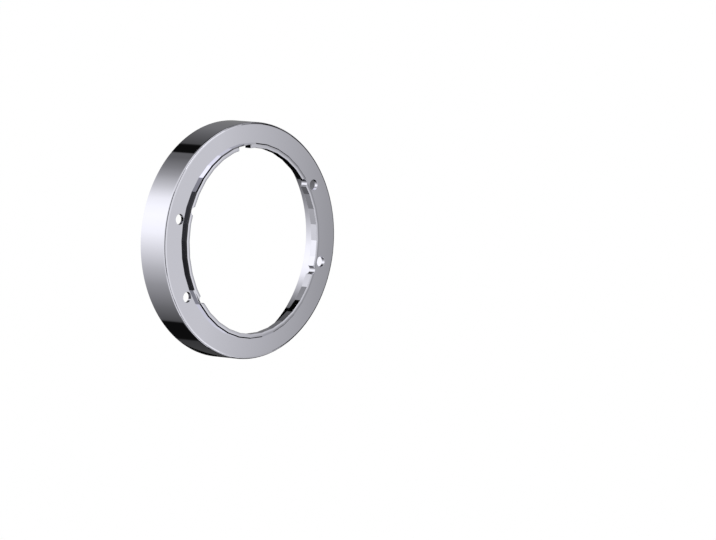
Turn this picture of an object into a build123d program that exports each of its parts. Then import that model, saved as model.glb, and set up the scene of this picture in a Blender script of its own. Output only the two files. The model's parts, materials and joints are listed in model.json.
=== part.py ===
from build123d import *
import math
import os

# Ring escutcheon: a round, chrome-plated trim shell that covers the gap in the
# wall round a valve or a pipe outlet. One piece: a flat face plate, an outer
# wall that runs back to the wall of the room, and a low collar with keyways
# round the opening.
#
# Frame: the ring hangs on a wall. The wall plane is XZ at Y = 0, the face looks
# along -Y, +Z is up, and the origin is the centre of the rear rim.

# Body: outer wall and face plate, in millimetres
OUTER_DIAMETER = 150.0
BODY_DEPTH = 22.0
WALL_THICKNESS = 4.5
FACE_THICKNESS = 2.5
FACE_EDGE_ROUND = 1.7
INNER_CORNER_ROUND = 1.0

# Collar round the opening: a low, slightly upright oval tube with flat-sided walls
COLLAR_BORE_WIDTH = 111.4
COLLAR_BORE_HEIGHT = 117.6
COLLAR_WALL = 3.0
COLLAR_HEIGHT = 2.6
COLLAR_FLATS = 36

# Keyways along the inside of the collar: a wide one at the top and two on each side,
# which lie at this angle above and below the level line
KEYWAY_ANGLE = 30.0
KEYWAY_WIDTH = 5.5
WIDE_KEYWAY_WIDTH = 10.0
KEYWAY_SKIN = 0.8

# Screw holes: two on each side of the opening, level with each other in pairs
SCREW_HOLE_DIAMETER = 6.8
SCREW_HOLE_CLEARANCE = 1.8
SCREW_PAIR_ANGLE = 45.5

outer_radius = OUTER_DIAMETER / 2
inner_radius = outer_radius - WALL_THICKNESS
collar_width = COLLAR_BORE_WIDTH + 2 * COLLAR_WALL
collar_height = COLLAR_BORE_HEIGHT + 2 * COLLAR_WALL
collar_top = BODY_DEPTH + COLLAR_HEIGHT


def collar_reach(angle):
    """Distance from the axis to the collar's outer wall, at an angle from the level line."""
    across = math.cos(math.radians(angle)) / (collar_width / 2)
    upward = math.sin(math.radians(angle)) / (collar_height / 2)
    return 1 / math.hypot(across, upward)


def shell():
    """Outer wall and face plate as one turned cup, open at the back."""
    cup = Cylinder(outer_radius, BODY_DEPTH, align=(Align.CENTER, Align.CENTER, Align.MIN))
    front_edge = cup.faces().sort_by(Axis.Z)[-1].edges()
    cup = fillet(front_edge, FACE_EDGE_ROUND)
    hollow_depth = BODY_DEPTH - FACE_THICKNESS
    hollow = Cylinder(inner_radius, hollow_depth, align=(Align.CENTER, Align.CENTER, Align.MIN))
    hollow_corner = hollow.faces().sort_by(Axis.Z)[-1].edges()
    return cup - fillet(hollow_corner, INNER_CORNER_ROUND)


def flat_sided_prism(width, height, bottom, top):
    """Oval prism whose sides are flats, with a corner on the level line."""
    outline = RegularPolygon(height / 2, COLLAR_FLATS, major_radius=False)
    outline = scale(outline, by=(width / height, 1, 1))
    return Pos(0, 0, bottom) * extrude(outline, amount=top - bottom)


def keyway_cutter(angle, width):
    """Bar along the inner wall of the collar that leaves a thin skin of it outside."""
    bar = Box(COLLAR_WALL + width, width, collar_top, align=(Align.MAX, Align.CENTER, Align.MIN))
    return Rot(0, 0, angle) * Pos(collar_reach(angle) - KEYWAY_SKIN, 0, 0) * bar


def keyway_cutters():
    """One wide bar at the top and two narrow ones on each side."""
    side_angles = [KEYWAY_ANGLE, -KEYWAY_ANGLE, 180.0 - KEYWAY_ANGLE, 180.0 + KEYWAY_ANGLE]
    narrow = [keyway_cutter(angle, KEYWAY_WIDTH) for angle in side_angles]
    return [keyway_cutter(90.0, WIDE_KEYWAY_WIDTH)] + narrow


def screw_hole_cutters():
    """Plain round holes through the face plate, just outside the collar."""
    drill = Cylinder(SCREW_HOLE_DIAMETER / 2, 2 * FACE_THICKNESS)
    half_pair = SCREW_PAIR_ANGLE / 2
    screw_radius = collar_reach(half_pair) + SCREW_HOLE_CLEARANCE + SCREW_HOLE_DIAMETER / 2
    angles = [half_pair, -half_pair, 180.0 - half_pair, 180.0 + half_pair]
    place = Pos(screw_radius, 0, BODY_DEPTH - FACE_THICKNESS / 2)
    return [Rot(0, 0, angle) * place * drill for angle in angles]


def escutcheon_ring():
    """The whole ring, turned on its axis with the face up, then hung on the wall."""
    collar = flat_sided_prism(collar_width, collar_height, BODY_DEPTH - FACE_THICKNESS, collar_top)
    opening = flat_sided_prism(COLLAR_BORE_WIDTH, COLLAR_BORE_HEIGHT, 0, collar_top)
    ring = shell() + collar - opening
    ring = ring - keyway_cutters() - screw_hole_cutters()
    return Rot(90, 0, 0) * ring


os.makedirs("parts", exist_ok=True)
ring = escutcheon_ring()
export_step(ring, "parts/escutcheon_ring.step")
box = ring.bounding_box()
print("escutcheon_ring", len(ring.solids()), "solid", round(ring.volume), "mm3", box.min, box.max)
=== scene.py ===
# %% [markdown]
# # A chrome ring escutcheon
#
# An escutcheon is the trim ring that hides the rough hole in a wall round a
# valve or a pipe. This one is a single plated casting: a flat face, an outer
# wall that runs back to the room's wall, and a low collar with keyways round
# the opening. The frame gives its real size, and everything below is built
# round the ring's own axis, which lies along Y with the face towards -Y.

# %% Load the frame
import json
import math
import bmesh
import bpy
from mathutils import Matrix, Vector

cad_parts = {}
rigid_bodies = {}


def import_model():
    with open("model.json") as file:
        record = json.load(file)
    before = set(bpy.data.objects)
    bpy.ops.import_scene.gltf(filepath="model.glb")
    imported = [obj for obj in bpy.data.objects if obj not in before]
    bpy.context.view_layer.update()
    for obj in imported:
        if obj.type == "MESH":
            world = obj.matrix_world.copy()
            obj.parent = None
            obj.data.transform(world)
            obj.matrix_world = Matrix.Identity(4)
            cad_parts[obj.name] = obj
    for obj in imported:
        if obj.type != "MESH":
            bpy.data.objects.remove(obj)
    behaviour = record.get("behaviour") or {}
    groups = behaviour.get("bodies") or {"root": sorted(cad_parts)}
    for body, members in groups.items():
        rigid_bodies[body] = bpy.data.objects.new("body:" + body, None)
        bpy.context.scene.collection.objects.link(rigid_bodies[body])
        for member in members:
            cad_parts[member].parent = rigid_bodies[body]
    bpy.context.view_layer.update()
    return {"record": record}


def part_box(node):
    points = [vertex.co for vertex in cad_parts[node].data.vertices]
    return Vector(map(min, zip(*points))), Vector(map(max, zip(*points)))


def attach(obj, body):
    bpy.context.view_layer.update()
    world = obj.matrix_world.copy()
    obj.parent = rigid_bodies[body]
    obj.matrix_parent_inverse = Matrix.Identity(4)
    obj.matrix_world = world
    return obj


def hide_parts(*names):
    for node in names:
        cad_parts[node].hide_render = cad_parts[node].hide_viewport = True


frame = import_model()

MM = 0.001
mounts = {mount["name"]: mount for mount in frame["record"]["mounts"]}

# %% [markdown]
# ## Sizes from the frame
#
# What the frame states is read from it: the overall box, the hollow at the
# back and the screw holes. Sizes that it doesn't state are written further
# down, in real millimetres, where each is first needed.

# %% Read the sizes
ring_low, ring_high = (Vector(corner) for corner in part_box("escutcheon_ring"))
OUTER_RADIUS = (ring_high.x - ring_low.x) / 2
REAR = ring_high.y
RIM_PLANE = ring_low.y
FACE_PLANE = mounts["screw_holes"]["pos_m"][1]
HOLLOW_RADIUS = mounts["rear_hollow"]["dims"]["r_mm"] * MM
SCREW_HOLE_RADIUS = mounts["screw_holes"]["dims"]["hole_r_mm"] * MM
SCREW_REACH_X = mounts["screw_holes"]["dims"]["spacing_x_mm"] * MM / 2
SCREW_REACH_Z = mounts["screw_holes"]["dims"]["spacing_y_mm"] * MM / 2
print("collar stands", round((FACE_PLANE - RIM_PLANE) / MM, 2), "mm out of the face")

# %% [markdown]
# ## The turned body
#
# A ring like this is cast and then turned, so its body is one section swept
# round an axis. The section is a closed outline. The collar's rim is slightly
# crowned and has a small chamfer outside. Two corners are rounded by a bevel:
# the outer edge of the face, which catches a thin line of light, and the
# corner inside the shell. A full spin with one step per degree makes the body
# fine enough for a mirror finish.

# %% Lay out the section
FACE_THICKNESS = 2.5 * MM
COLLAR_BORE_HEIGHT = 117.6 * MM
COLLAR_WALL = 3.0 * MM
RIM_CHAMFER = 0.7 * MM
RIM_CROWN = 0.06 * MM

PLATE_BACK = FACE_PLANE + FACE_THICKNESS
BORE_RADIUS = COLLAR_BORE_HEIGHT / 2
COLLAR_RADIUS = BORE_RADIUS + COLLAR_WALL


def section_outline():
    """The L-section with its collar, as radius and depth, from the rear rim inwards."""
    rim_step = (COLLAR_WALL - RIM_CHAMFER) / 3
    rim_edge = RIM_PLANE + RIM_CROWN
    return [
        (OUTER_RADIUS, REAR),
        (OUTER_RADIUS, FACE_PLANE),
        (COLLAR_RADIUS, FACE_PLANE),
        (COLLAR_RADIUS, rim_edge + RIM_CHAMFER),
        (BORE_RADIUS + 3 * rim_step, rim_edge),
        (BORE_RADIUS + 2 * rim_step, RIM_PLANE),
        (BORE_RADIUS + rim_step, RIM_PLANE),
        (BORE_RADIUS, rim_edge),
        (BORE_RADIUS, PLATE_BACK),
        (HOLLOW_RADIUS, PLATE_BACK),
        (HOLLOW_RADIUS, REAR),
    ]


print("section:", len(section_outline()), "corners")

# %% Spin the section
FACE_EDGE_ROUND = 1.7 * MM
INNER_CORNER_ROUND = 1.0 * MM
ROUND_SEGMENTS = 12
SPIN_STEPS = 360
MERGE_DISTANCE = 0.001 * MM


def round_corner(section, corner, radius):
    """Rounds one corner of the flat section with an arc of the given radius."""
    bmesh.ops.bevel(section, geom=[corner], offset=radius, affect="VERTICES",
                    segments=ROUND_SEGMENTS, profile=0.5, material=-1)


def turned_body():
    """The section with its rounded corners, spun round the Y axis."""
    body = bmesh.new()
    corners = [body.verts.new((radius, depth, 0)) for radius, depth in section_outline()]
    body.faces.new(corners)
    face_edge, hollow_corner = corners[1], corners[-2]
    round_corner(body, face_edge, FACE_EDGE_ROUND)
    round_corner(body, hollow_corner, INNER_CORNER_ROUND)
    bmesh.ops.delete(body, geom=list(body.faces), context="FACES_ONLY")
    bmesh.ops.spin(body, geom=list(body.verts) + list(body.edges), cent=(0, 0, 0), axis=(0, 1, 0),
                   angle=2 * math.pi, steps=SPIN_STEPS, use_merge=True)
    bmesh.ops.remove_doubles(body, verts=list(body.verts), dist=MERGE_DISTANCE)
    return body


ring_mesh = turned_body()
print("turned body:", len(ring_mesh.faces), "faces")

# %% [markdown]
# ## Flats on the collar
#
# The collar isn't round: it is a little taller than wide, and its walls are
# short flats, which is what breaks its reflections into blocks. The spin
# already put ten steps on each flat, so it is enough to push the collar's
# vertices out to the flats' lines and to squeeze them sideways. The corner
# between two flats lies on the level line.

# %% Press the collar into flats
COLLAR_BORE_WIDTH = 111.4 * MM
COLLAR_FLATS = 36
FLAT_ANGLE = 2 * math.pi / COLLAR_FLATS
BORE_SQUEEZE = COLLAR_BORE_WIDTH / COLLAR_BORE_HEIGHT
COLLAR_SQUEEZE = (COLLAR_BORE_WIDTH / 2 + COLLAR_WALL) / COLLAR_RADIUS
RADIUS_TOLERANCE = 0.01 * MM


def press_flats(mesh):
    """Moves the collar's vertices from a circle to the sides of an oval polygon."""
    for vert in mesh.verts:
        radius = math.hypot(vert.co.x, vert.co.z)
        if radius > COLLAR_RADIUS + RADIUS_TOLERANCE:
            continue
        squeeze = BORE_SQUEEZE if radius < BORE_RADIUS + RADIUS_TOLERANCE else COLLAR_SQUEEZE
        from_corner = math.atan2(vert.co.z, vert.co.x) % FLAT_ANGLE
        stretch = 1 / math.cos(from_corner - FLAT_ANGLE / 2)
        vert.co.x *= stretch * squeeze
        vert.co.z *= stretch


press_flats(ring_mesh)
bmesh.ops.recalc_face_normals(ring_mesh, faces=list(ring_mesh.faces))
print("flats:", COLLAR_FLATS, "faces now:", len(ring_mesh.faces))

# %% [markdown]
# ## From mesh to object
#
# A bmesh is only a workbench. Its result is written into a mesh, and an
# object at the origin shows that mesh in the scene. Every piece below goes
# the same way, so this is a small function.

# %% Make the ring an object


def object_from(mesh, name):
    """Puts a finished bmesh into a new object at the origin."""
    data = bpy.data.meshes.new(name)
    mesh.to_mesh(data)
    mesh.free()
    made = bpy.data.objects.new(name, data)
    bpy.context.scene.collection.objects.link(made)
    return made


ring = object_from(ring_mesh, "chrome_ring")
print(ring.name, "has", len(ring.data.vertices), "vertices")

# %% [markdown]
# ## Keyways and screw holes
#
# Five keyways run along the inside of the collar, a wide one at the top and
# two narrow ones on each side with rounded floors. Each leaves a thin skin of
# the collar's wall. Four plain holes go through the face. On the real ring a
# mill and a drill cut them, so here cutters of the same shapes are taken away
# with a Boolean, which is then applied.

# %% Shape the keyway cutters
KEYWAY_ANGLE = 30
SIDE_KEYWAY_ANGLES = (KEYWAY_ANGLE, 180 - KEYWAY_ANGLE, 180 + KEYWAY_ANGLE, 360 - KEYWAY_ANGLE)
KEYWAY_WIDTH = 5.5 * MM
KEYWAY_ROUND = 2.6 * MM
KEYWAY_ROUND_SEGMENTS = 24
TOP_KEYWAY_ANGLE = 90
TOP_KEYWAY_WIDTH = 10.0 * MM
KEYWAY_SKIN = 0.8 * MM
OVERCUT = 1.0 * MM


def turn(angle):
    """Turn about the ring's axis, from the level line upwards."""
    return Matrix.Rotation(-math.radians(angle), 4, "Y")


def join_into(mesh, other):
    """Adds one bmesh to another."""
    data = bpy.data.meshes.new("joined")
    other.to_mesh(data)
    other.free()
    mesh.from_mesh(data)
    bpy.data.meshes.remove(data)


def floor_edges(bar, centre):
    """The two edges of a cutter bar that run along the keyway's floor."""
    outer_edges = [edge for edge in bar.edges if all(vert.co.x > centre.x for vert in edge.verts)]
    return [edge for edge in outer_edges if edge.verts[0].co.z == edge.verts[1].co.z]


def keyway_cutter(cutters, angle, width, floor_round=0):
    """A bar along the collar's inner wall that leaves the skin outside it."""
    across = math.cos(math.radians(angle)) / COLLAR_SQUEEZE
    upward = math.sin(math.radians(angle))
    outer = COLLAR_RADIUS / math.hypot(across, upward) - KEYWAY_SKIN
    inner = outer - COLLAR_WALL - width
    front = RIM_PLANE - OVERCUT
    back = PLATE_BACK + OVERCUT
    centre = Vector(((outer + inner) / 2, (front + back) / 2, 0))
    size = Matrix.Diagonal((outer - inner, back - front, width, 1))
    bar = bmesh.new()
    bmesh.ops.create_cube(bar, size=1, matrix=Matrix.Translation(centre) @ size)
    if floor_round:
        bmesh.ops.bevel(bar, geom=floor_edges(bar, centre), offset=floor_round, affect="EDGES",
                        segments=KEYWAY_ROUND_SEGMENTS, profile=0.5, material=-1)
    bmesh.ops.transform(bar, matrix=turn(angle), verts=list(bar.verts))
    join_into(cutters, bar)


cutter_mesh = bmesh.new()
keyway_cutter(cutter_mesh, TOP_KEYWAY_ANGLE, TOP_KEYWAY_WIDTH)
for angle in SIDE_KEYWAY_ANGLES:
    keyway_cutter(cutter_mesh, angle, KEYWAY_WIDTH, KEYWAY_ROUND)
print("keyway cutters:", len(cutter_mesh.faces), "faces")

# %% Add the screw hole cutters
HOLE_SEGMENTS = 72


def screw_hole_cutter(cutters, x, z):
    """A round bar through the face plate."""
    length = FACE_THICKNESS + 2 * OVERCUT
    middle = Matrix.Translation((x, FACE_PLANE + FACE_THICKNESS / 2, z))
    place = middle @ Matrix.Rotation(math.pi / 2, 4, "X")
    bmesh.ops.create_cone(cutters, cap_ends=True, segments=HOLE_SEGMENTS, radius1=SCREW_HOLE_RADIUS,
                          radius2=SCREW_HOLE_RADIUS, depth=length, matrix=place)


for side in (-1, 1):
    for level in (-1, 1):
        screw_hole_cutter(cutter_mesh, side * SCREW_REACH_X, level * SCREW_REACH_Z)
cutter = object_from(cutter_mesh, "cutters")
print("all cutters:", len(cutter.data.polygons), "faces")

# %% Cut the keyways and the holes
cut = ring.modifiers.new("keyways and holes", "BOOLEAN")
cut.operation = "DIFFERENCE"
cut.solver = "EXACT"
cut.object = cutter
bpy.context.view_layer.update()
cut_ring = ring.evaluated_get(bpy.context.evaluated_depsgraph_get())
ring.data = bpy.data.meshes.new_from_object(cut_ring)
ring.modifiers.clear()
bpy.data.objects.remove(cutter)
print("after the cuts:", len(ring.data.polygons), "faces")

# %% [markdown]
# ## Broken edges
#
# No real edge is perfectly sharp: plating builds up on it and polishing rubs
# it round. A bevel on every edge that stands out gives each one its thin
# highlight. The inner corners, the chamfer and the slight corners between the
# flats stay crisp. Weighted normals keep the flat faces flat in the mirror.

# %% Mark the edges
SHARP_ANGLE = math.radians(5)
BEVEL_ANGLE = math.radians(50)


def mark_edges(data):
    """Marks the edges that stand out for the bevel and keeps the other corners sharp."""
    mesh = bmesh.new()
    mesh.from_mesh(data)
    weight = mesh.edges.layers.float.new("bevel_weight_edge")
    bevelled = 0
    for edge in mesh.edges:
        angle = edge.calc_face_angle(0)
        if edge.is_convex and angle > BEVEL_ANGLE:
            edge[weight] = 1.0
            bevelled += 1
        else:
            edge.smooth = angle < SHARP_ANGLE
    for face in mesh.faces:
        face.smooth = True
    open_edges = sum(not edge.is_manifold for edge in mesh.edges)
    mesh.to_mesh(data)
    mesh.free()
    print("bevelled edges:", bevelled, "open edges:", open_edges)


mark_edges(ring.data)

# %% Bevel and shade the edges
EDGE_BREAK = 0.15 * MM
EDGE_SEGMENTS = 3

edge_break = ring.modifiers.new("broken edges", "BEVEL")
edge_break.width = EDGE_BREAK
edge_break.segments = EDGE_SEGMENTS
edge_break.limit_method = "WEIGHT"
edge_break.use_clamp_overlap = False
edge_break.loop_slide = False
edge_break.harden_normals = True
flat_shading = ring.modifiers.new("flat faces stay flat", "WEIGHTED_NORMAL")
flat_shading.keep_sharp = True

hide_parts("escutcheon_ring")
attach(ring, "root")
print("modifiers:", [modifier.name for modifier in ring.modifiers])

# %% [markdown]
# ## Helpers for materials
#
# Colours are written as people write them, in sRGB hex, and shaders want
# linear light, so one function turns the one into the other. Another adds a
# node with its values and links, which keeps each material short to read.

# %% Turn colours and add nodes


def linear(hex_colour):
    """Turns an sRGB hex colour into the linear values that shaders use."""
    channels = [int(hex_colour[start:start + 2], 16) / 255 for start in (1, 3, 5)]
    return [c / 12.92 if c <= 0.04045 else ((c + 0.055) / 1.055) ** 2.4 for c in channels] + [1.0]


def add_node(tree, kind, settings=None, **links):
    """Adds one node, sets its values and links its inputs."""
    node = tree.nodes.new(kind)
    for name, value in (settings or {}).items():
        if name in node.inputs:
            node.inputs[name].default_value = value
        else:
            setattr(node, name, value)
    for name, source in links.items():
        tree.links.new(source, node.inputs[name.replace("_", " ")])
    return node


def empty_material(name):
    """A node material with nothing in it yet."""
    material = bpy.data.materials.new(name)
    material.use_nodes = True
    material.node_tree.nodes.clear()
    return material, material.node_tree


print("mid grey in linear light:", round(linear("#808080")[0], 3))

# %% [markdown]
# ## Bright chrome plate
#
# Chrome plate over polished nickel is a nearly colourless mirror, a little
# cooler than silver. It gives the eye almost nothing but its surroundings, so
# the finish is a metal with low roughness. The buffing wheel leaves faint
# patches that are a little hazier, a centimetre or so across, and the plating
# a trace of ripple, a few millimetres across. Both are noise in the ring's own
# millimetres.

# %% Make the plating
CHROME_COLOUR = "#d3d3dc"
HAZE_PATCH = 9.0 * MM
NOISE_LOW, NOISE_HIGH = 0.3, 0.7
CLEAR_ROUGHNESS, HAZY_ROUGHNESS = 0.012, 0.03
RIPPLE_WIDTH = 3.0 * MM
RIPPLE_HEIGHT = 0.0002 * MM


def chrome_plate():
    """Polished chrome plating over brass."""
    # To the eye: a cool mirror whose reflections are crisp, with a trace of haze
    material, tree = empty_material("bright chrome plating")
    place = add_node(tree, "ShaderNodeTexCoord").outputs["Object"]
    patches = add_node(tree, "ShaderNodeTexNoise", {"Scale": 1 / HAZE_PATCH, "Detail": 3.0}, Vector=place)
    haze = add_node(tree, "ShaderNodeMapRange",
                    {"From Min": NOISE_LOW, "From Max": NOISE_HIGH,
                     "To Min": CLEAR_ROUGHNESS, "To Max": HAZY_ROUGHNESS},
                    Value=patches.outputs["Fac"])
    waves = add_node(tree, "ShaderNodeTexNoise", {"Scale": 1 / RIPPLE_WIDTH, "Detail": 1.0}, Vector=place)
    ripple = add_node(tree, "ShaderNodeBump", {"Strength": 1.0, "Distance": RIPPLE_HEIGHT},
                      Height=waves.outputs["Fac"])
    metal = add_node(tree, "ShaderNodeBsdfPrincipled",
                     {"Base Color": linear(CHROME_COLOUR), "Metallic": 1.0},
                     Roughness=haze.outputs["Result"], Normal=ripple.outputs["Normal"])
    add_node(tree, "ShaderNodeOutputMaterial", Surface=metal.outputs["BSDF"])
    return material


ring.data.materials.clear()
ring.data.materials.append(chrome_plate())
print("finish:", ring.data.materials[0].name)

# %% [markdown]
# ## White background and floor
#
# The photograph shows the ring against plain white. A white world gives the
# same white to the camera and the light on the floor, which is a sheet of
# white paper well below the ring. It lies just under the screens, which stand
# at one distance all round the ring.

# %% Make the background
world = bpy.data.worlds.new("white studio")
bpy.context.scene.world = world
world.use_nodes = True
world.node_tree.nodes["Background"].inputs["Color"].default_value = (1, 1, 1, 1)
world.node_tree.nodes["Background"].inputs["Strength"].default_value = 1.0
print("world:", world.name)

# %% Lay the floor
SCREEN_RADIUS = 0.60
FLOOR_GAP = 0.02
FLOOR_HALF_WIDTH = 6.0

floor_mesh = bmesh.new()
bmesh.ops.create_grid(floor_mesh, x_segments=1, y_segments=1, size=FLOOR_HALF_WIDTH,
                      matrix=Matrix.Translation((0, 0, -SCREEN_RADIUS - FLOOR_GAP)))
floor = object_from(floor_mesh, "floor")
# To the eye: matt white without any sheen
paper, paper_tree = empty_material("white paper sweep")
paper_face = add_node(paper_tree, "ShaderNodeBsdfPrincipled",
                      {"Base Color": linear("#ffffff"), "Roughness": 1.0, "Specular IOR Level": 0.0})
add_node(paper_tree, "ShaderNodeOutputMaterial", Surface=paper_face.outputs["BSDF"])
floor.data.materials.append(paper)
print("floor lies", SCREEN_RADIUS + FLOOR_GAP, "m below the ring's axis")

# %% [markdown]
# ## Cloths for the screens
#
# A mirror has no look of its own: a photographer lights it by choosing what it
# sees. Two kinds of cloth are enough. One glows, and its brightness follows a
# list of tones round the ring's axis: an angle from the right, turning
# upwards, and a brightness. The other is black velvet.

# %% Make the cloths


def angle_share(tree, axes):
    """The angle of a place round the ring's axis, as a share of a full turn."""
    turned = add_node(tree, "ShaderNodeMath", {"operation": "ARCTAN2"})
    tree.links.new(axes.outputs["Z"], turned.inputs[0])
    tree.links.new(axes.outputs["X"], turned.inputs[1])
    share = add_node(tree, "ShaderNodeMath", {"operation": "DIVIDE"})
    tree.links.new(turned.outputs[0], share.inputs[0])
    share.inputs[1].default_value = 2 * math.pi
    whole = add_node(tree, "ShaderNodeMath", {"operation": "WRAP"})
    tree.links.new(share.outputs[0], whole.inputs[0])
    whole.inputs[1].default_value = 1.0
    whole.inputs[2].default_value = 0.0
    return whole.outputs[0]


def glowing_cloth(name, tones, level, fade=None):
    """A lit cloth whose brightness changes round the ring's axis, and along it if it fades."""
    # To the eye: an even glow with soft changes of grey
    material, tree = empty_material(name)
    place = add_node(tree, "ShaderNodeTexCoord").outputs["Object"]
    axes = add_node(tree, "ShaderNodeSeparateXYZ", Vector=place)
    ramp = add_node(tree, "ShaderNodeValToRGB", Fac=angle_share(tree, axes))
    elements = ramp.color_ramp.elements
    while len(elements) < len(tones):
        elements.new(0.5)
    for element, (degrees, tone) in zip(elements, tones):
        element.position = degrees / 360
        element.color = (tone, tone, tone, 1)
    glow = add_node(tree, "ShaderNodeEmission", {"Strength": level}, Color=ramp.outputs["Color"])
    if fade:
        near, far, shade = fade
        along = add_node(tree, "ShaderNodeMapRange",
                         {"From Min": near, "From Max": far, "To Min": shade * level, "To Max": level},
                         Value=axes.outputs["Y"])
        tree.links.new(along.outputs["Result"], glow.inputs["Strength"])
    add_node(tree, "ShaderNodeOutputMaterial", Surface=glow.outputs["Emission"])
    return material


def black_velvet():
    """Unlit black cloth."""
    # To the eye: a black without any sheen, because the pile swallows nearly all light
    material, tree = empty_material("black velvet")
    cloth = add_node(tree, "ShaderNodeBsdfPrincipled",
                     {"Base Color": linear("#050505"), "Roughness": 1.0, "Specular IOR Level": 0.0})
    add_node(tree, "ShaderNodeOutputMaterial", Surface=cloth.outputs["BSDF"])
    return material


velvet = black_velvet()
print("plain cloth:", velvet.name)

# %% [markdown]
# ## Screens round the ring
#
# The cloths are bent round the ring's axis, each over an arc in degrees and a
# span in metres along the axis, with the minus side in front of the ring. One
# spin of a straight edge bends a cloth, and a step along the axis makes it
# climb like a screw thread. The camera, the shadows and the floor don't see
# the cloths, so they work from any side.

# %% Bend a cloth
SCREEN_STEP = 2


def reflections_only(made):
    """Hides a stage object from everything but mirrors."""
    made.visible_camera = False
    made.visible_diffuse = False
    made.visible_shadow = False
    made.visible_transmission = False


def screen(name, arc, span, material, inset=0, climb=0):
    """A cloth bent round the ring's axis, from one angle to another, that only reflections see."""
    mesh = bmesh.new()
    start = turn(arc[0])
    ends = [mesh.verts.new(start @ Vector((SCREEN_RADIUS - inset, depth, 0))) for depth in span]
    edge = mesh.edges.new(ends)
    sweep = arc[1] - arc[0]
    steps = round(sweep / SCREEN_STEP)
    bmesh.ops.spin(mesh, geom=ends + [edge], cent=(0, 0, 0), axis=(0, -1, 0), dvec=(0, climb / steps, 0),
                   angle=math.radians(sweep), steps=steps, use_merge=sweep == 360)
    made = object_from(mesh, name)
    made.data.materials.append(material)
    reflections_only(made)
    print(name, "covers", sweep, "degrees")


# %% [markdown]
# ## The softbox behind the ring
#
# The outer wall mirrors what stands behind and beside the ring. A whole drum
# of cloth stands there: a bright softbox on the left that fades to dark grey
# above and below, with two black stripes that give the wall its crisp bars.

# %% Hang the softbox
SCREEN_LENGTH = 1.2
SOFTBOX_LEVEL = 1.47
SOFTBOX_TONES = [
    (0, 0.16), (40, 0.148), (58, 0.097), (70.5, 0.062), (72, 0.004), (83, 0.004), (84.5, 0.108),
    (90, 0.112), (102, 0.207), (110, 0.315), (122, 0.56), (134, 0.88), (142, 0.965), (150, 1.0),
    (158, 0.974), (166, 0.926), (182, 0.682), (198, 0.458), (214, 0.286), (238, 0.135), (254, 0.067),
    (256, 0.004), (281, 0.004), (284, 0.035), (312, 0.047), (330, 0.027), (360, 0.16),
]
softbox_cloth = glowing_cloth("softbox cloth", SOFTBOX_TONES, SOFTBOX_LEVEL)
screen("softbox", (0, 360), (0, SCREEN_LENGTH), softbox_cloth)

# %% [markdown]
# ## In front of the ring
#
# The flat face mirrors a grey card on the right, which fades along the axis.
# The collar's wall stands square on the face, and the two mirrors together
# throw the look back to the left, where another cloth hangs. Its dark stretch
# draws the band along the collar, and its light ends the pale blocks.

# %% Hang the face card
FACE_CARD_LEVEL = 1.23
FACE_CARD_TONES = [(0, 0.667), (25, 0.667), (40, 1.0), (320, 1.0), (335, 0.667), (360, 0.667)]
FACE_CARD_ARC = (300, 420)
FACE_CARD_SPAN = (-0.75, 0)
FACE_CARD_NEAR = -0.53
FACE_CARD_FAR = -0.672
FACE_CARD_SHADE = 0.5
face_fade = (FACE_CARD_NEAR, FACE_CARD_FAR, FACE_CARD_SHADE)
face_card = glowing_cloth("face card", FACE_CARD_TONES, FACE_CARD_LEVEL, face_fade)
screen("face_card", FACE_CARD_ARC, FACE_CARD_SPAN, face_card)

# %% Hang the collar cloth
FLAG_GAP = 0.01
COLLAR_CLOTH_LEVEL = 2.2
COLLAR_CLOTH_TONES = [
    (40, 0.5), (60, 0.6), (74, 0.85), (95, 1.0), (110, 0.2), (120, 0.04), (155, 0.032), (195, 0.016),
    (229, 0.02), (239, 0.2), (252, 0.57), (300, 0.57),
]
COLLAR_CLOTH_ARC = (40, 300)
COLLAR_CLOTH_SPAN = (-0.75, -0.36)
collar_cloth = glowing_cloth("collar cloth", COLLAR_CLOTH_TONES, COLLAR_CLOTH_LEVEL)
screen("collar_cloth", COLLAR_CLOTH_ARC, COLLAR_CLOTH_SPAN, collar_cloth, FLAG_GAP)

# %% [markdown]
# ## Strips for the rim's chamfer
#
# The chamfer of the collar's rim leans, so it sees a path that climbs along
# the axis as it goes round. Two dark strips follow that path and give the rim
# its dark line. The upper one is grey at its start, where the line is faint,
# and a grey card lets the line fade out on the right.

# %% Hang the strips
UPPER_FLAG_LEVEL = 1.0
UPPER_FLAG_TONES = [(0, 0.22), (60, 0.22), (80, 0.0), (360, 0.0)]
UPPER_FLAG_ARC = (40, 120)
UPPER_FLAG_SPAN = (-0.20, -0.06)
UPPER_FLAG_CLIMB = -0.36
upper_cloth = glowing_cloth("upper flag cloth", UPPER_FLAG_TONES, UPPER_FLAG_LEVEL)
screen("upper_flag", UPPER_FLAG_ARC, UPPER_FLAG_SPAN, upper_cloth, 2 * FLAG_GAP, UPPER_FLAG_CLIMB)

LOWER_FLAG_ARC = (225, 310)
LOWER_FLAG_SPAN = (-0.515, -0.375)
LOWER_FLAG_CLIMB = 0.48
screen("lower_flag", LOWER_FLAG_ARC, LOWER_FLAG_SPAN, velvet, 2 * FLAG_GAP, LOWER_FLAG_CLIMB)

RIM_CARD_LEVEL = 0.47
RIM_CARD_TONES = [(0, 1.0), (360, 1.0)]
RIM_CARD_ARC = (345, 384)
RIM_CARD_SPAN = (0.02, 0.48)
rim_card = glowing_cloth("rim card", RIM_CARD_TONES, RIM_CARD_LEVEL)
screen("rim_card", RIM_CARD_ARC, RIM_CARD_SPAN, rim_card, FLAG_GAP)

# %% [markdown]
# ## Black flags
#
# A flag is a photographer's black card. One darkens the face's outer edge on
# the right, two the inside of the shell, and a small one, which faces the top
# of the ring, the end wall of the top keyway.

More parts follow.
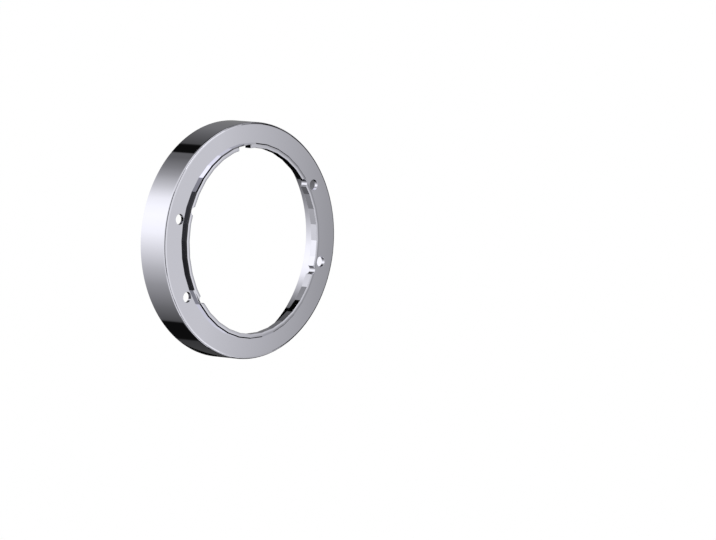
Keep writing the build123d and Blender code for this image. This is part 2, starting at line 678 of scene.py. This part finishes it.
# %% Hang the flags
EDGE_FLAG_ARC = (320, 400)
EDGE_FLAG_SPAN = (-0.38, 0)
SHELL_FLAG_ARCS = [(68, 92), (266, 350)]
SHELL_FLAG_SPAN = (0.575, 0.78)
KEYWAY_FLAG_PLACE = Vector((-0.201, 0.189, 0.006))
KEYWAY_FLAG_SIDE = 0.05


def flag(name, place, side, material):
    """A small card that faces the top of the ring and that only reflections see."""
    mesh = bmesh.new()
    ring_top = Vector((0, FACE_PLANE, BORE_RADIUS))
    facing = (ring_top - place).to_track_quat("Z", "Y").to_matrix().to_4x4()
    bmesh.ops.create_grid(mesh, x_segments=1, y_segments=1, size=side / 2,
                          matrix=Matrix.Translation(place) @ facing)
    made = object_from(mesh, name)
    made.data.materials.append(material)
    reflections_only(made)
    print(name, "is", side, "m wide")


screen("edge_flag", EDGE_FLAG_ARC, EDGE_FLAG_SPAN, velvet, FLAG_GAP)
for shell_flag_arc in SHELL_FLAG_ARCS:
    screen("shell_flag", shell_flag_arc, SHELL_FLAG_SPAN, velvet, FLAG_GAP)
flag("keyway_flag", KEYWAY_FLAG_PLACE, KEYWAY_FLAG_SIDE, velvet)

# %% [markdown]
# ## Camera
#
# The photograph looks at the ring from its left and a little above, through a
# long lens that hardly converges. The camera is turned, raised and rolled to
# the ring's measured axes, and aimed beside the ring so that it lands where
# it does in the picture.

# %% Make the camera
IMAGE_WIDTH = 716
IMAGE_HEIGHT = 540
PIXELS_PER_MM = 1.585
CAMERA_DISTANCE = 5.0
CAMERA_CLIP = 50
SENSOR = 36.0

camera_data = bpy.data.cameras.new("camera")
camera = bpy.data.objects.new("camera", camera_data)
bpy.context.scene.collection.objects.link(camera)
bpy.context.scene.camera = camera
camera_data.sensor_width = SENSOR
camera_data.lens = SENSOR * CAMERA_DISTANCE * PIXELS_PER_MM / MM / IMAGE_WIDTH
camera_data.clip_end = CAMERA_CLIP
print("lens", round(camera_data.lens, 1), "mm")

# %% Aim the camera
CAMERA_TURN = math.radians(44.3)
CAMERA_RISE = math.radians(10.3)
CAMERA_ROLL = math.radians(5.2)
FACE_CENTRE_PIXEL = Vector((250.9, 240.7))

back = Vector((-math.sin(CAMERA_TURN) * math.cos(CAMERA_RISE),
               -math.cos(CAMERA_TURN) * math.cos(CAMERA_RISE),
               math.sin(CAMERA_RISE)))
level_view = (-back).to_track_quat("-Z", "Y").to_matrix()
rolled_view = level_view @ Matrix.Rotation(-CAMERA_ROLL, 3, "Z")
offset_right = (IMAGE_WIDTH / 2 - FACE_CENTRE_PIXEL.x) / PIXELS_PER_MM * MM
offset_down = (IMAGE_HEIGHT / 2 - FACE_CENTRE_PIXEL.y) / PIXELS_PER_MM * MM
face_centre = Vector((0, FACE_PLANE, 0))
aim = face_centre + rolled_view @ Vector((offset_right, -offset_down, 0))
camera.location = aim + back * CAMERA_DISTANCE
camera.rotation_mode = "QUATERNION"
camera.rotation_quaternion = rolled_view.to_quaternion()
bpy.context.scene.view_settings.view_transform = "Standard"
print("camera at", [round(value, 2) for value in camera.location])
